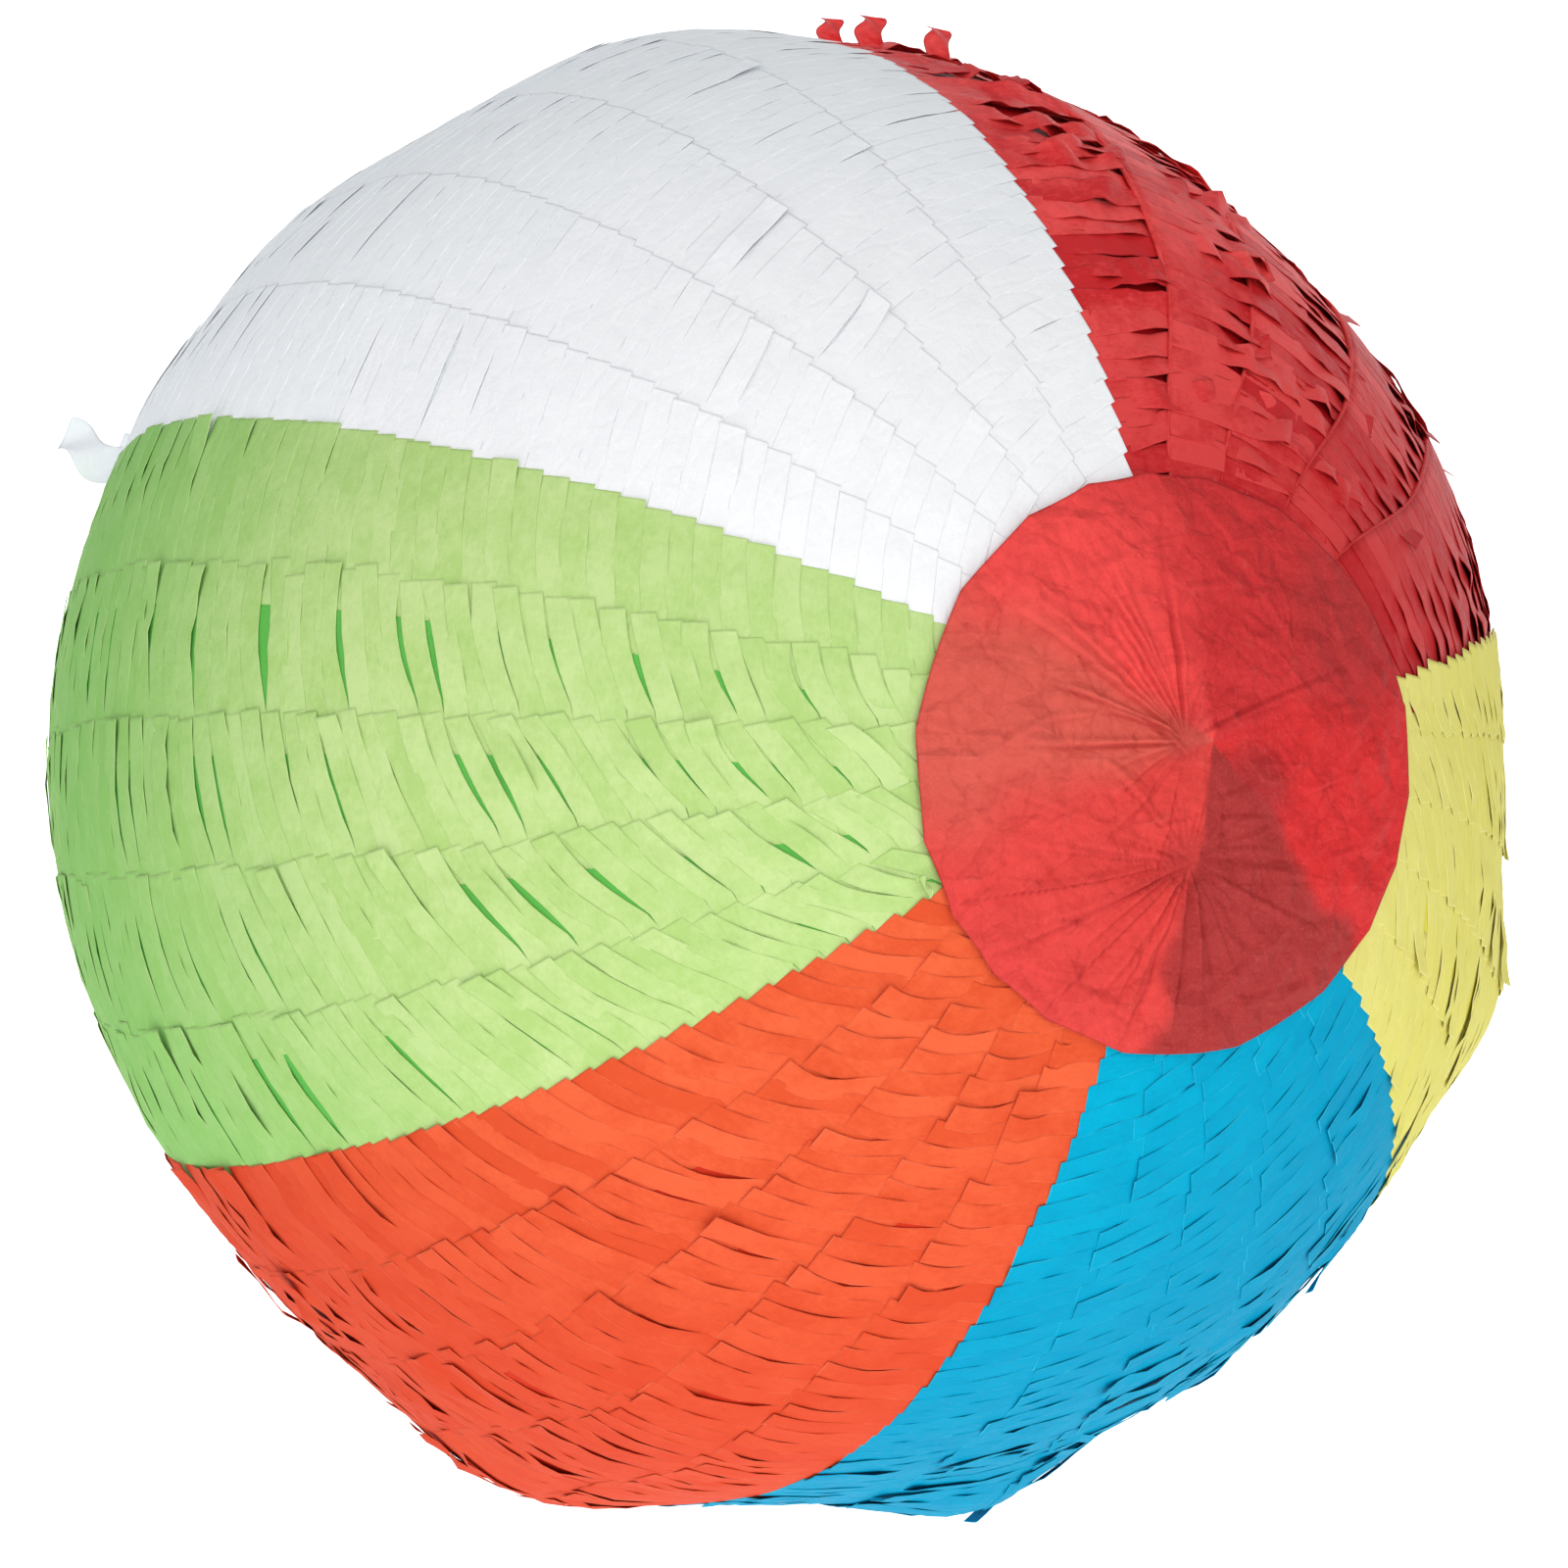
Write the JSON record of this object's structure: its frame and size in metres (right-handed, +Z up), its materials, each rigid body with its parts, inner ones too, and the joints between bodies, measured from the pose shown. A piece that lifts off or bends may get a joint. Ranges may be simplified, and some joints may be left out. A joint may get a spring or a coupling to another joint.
{
  "type": "beach ball pinata",
  "caption": "Hollow paper ball with six coloured gores of fringed tissue strips, a tissue disc over each pole, a hinged fill flap and cord holes at the top.",
  "frame": {"origin": "centre of the ball", "axes": "+Z up as the ball hangs, through the cord holes; Y through the two poles under the tissue discs, with the pictured pole at -Y"},
  "size_m": [0.3297, 0.3323, 0.3298],
  "materials": {
    "red_tissue": "matte",
    "yellow_tissue": "matte",
    "blue_tissue": "matte",
    "orange_tissue": "matte",
    "green_tissue": "matte",
    "white_tissue": "matte",
    "cap_tissue": "matte",
    "papier_mache": "matte",
    "card": "matte",
    "paper_tape": "matte"
  },
  "bodies": {
    "ball": {"red_fringe_1": "red_tissue", "red_fringe_2_near": "red_tissue", "red_fringe_2_far": "red_tissue", "red_fringe_3_near": "red_tissue", "red_fringe_3_far": "red_tissue", "red_fringe_4": "red_tissue", "red_fringe_5": "red_tissue", "yellow_fringe_1": "yellow_tissue", "yellow_fringe_2": "yellow_tissue", "yellow_fringe_3": "yellow_tissue", "yellow_fringe_4": "yellow_tissue", "yellow_fringe_5": "yellow_tissue", "blue_fringe_1": "blue_tissue", "blue_fringe_2": "blue_tissue", "blue_fringe_3": "blue_tissue", "blue_fringe_4": "blue_tissue", "blue_fringe_5": "blue_tissue", "orange_fringe_1": "orange_tissue", "orange_fringe_2": "orange_tissue", "orange_fringe_3": "orange_tissue", "orange_fringe_4": "orange_tissue", "orange_fringe_5": "orange_tissue", "green_fringe_1": "green_tissue", "green_fringe_2": "green_tissue", "green_fringe_3": "green_tissue", "green_fringe_4": "green_tissue", "green_fringe_5": "green_tissue", "white_fringe_1": "white_tissue", "white_fringe_2": "white_tissue", "white_fringe_3": "white_tissue", "white_fringe_4": "white_tissue", "white_fringe_5": "white_tissue", "near_cap_disc": "cap_tissue", "far_cap_disc": "cap_tissue", "paper_shell": "papier_mache", "hinge_tape_on_shell": "paper_tape", "hanger_card": "card"},
    "flap": {"fill_flap": "papier_mache", "flap_fringe_1": "red_tissue", "flap_fringe_2": "red_tissue", "hinge_tape_on_flap": "paper_tape"}
  },
  "joints": [
    {"name": "flap_hinge", "type": "hinge", "parent": "ball", "child": "flap", "pos_m": [0.11067, 0.05304, 0.11029], "axis": [-0.2277, 0.9469, -0.2269], "range_deg": [0, 110]}
  ]
}
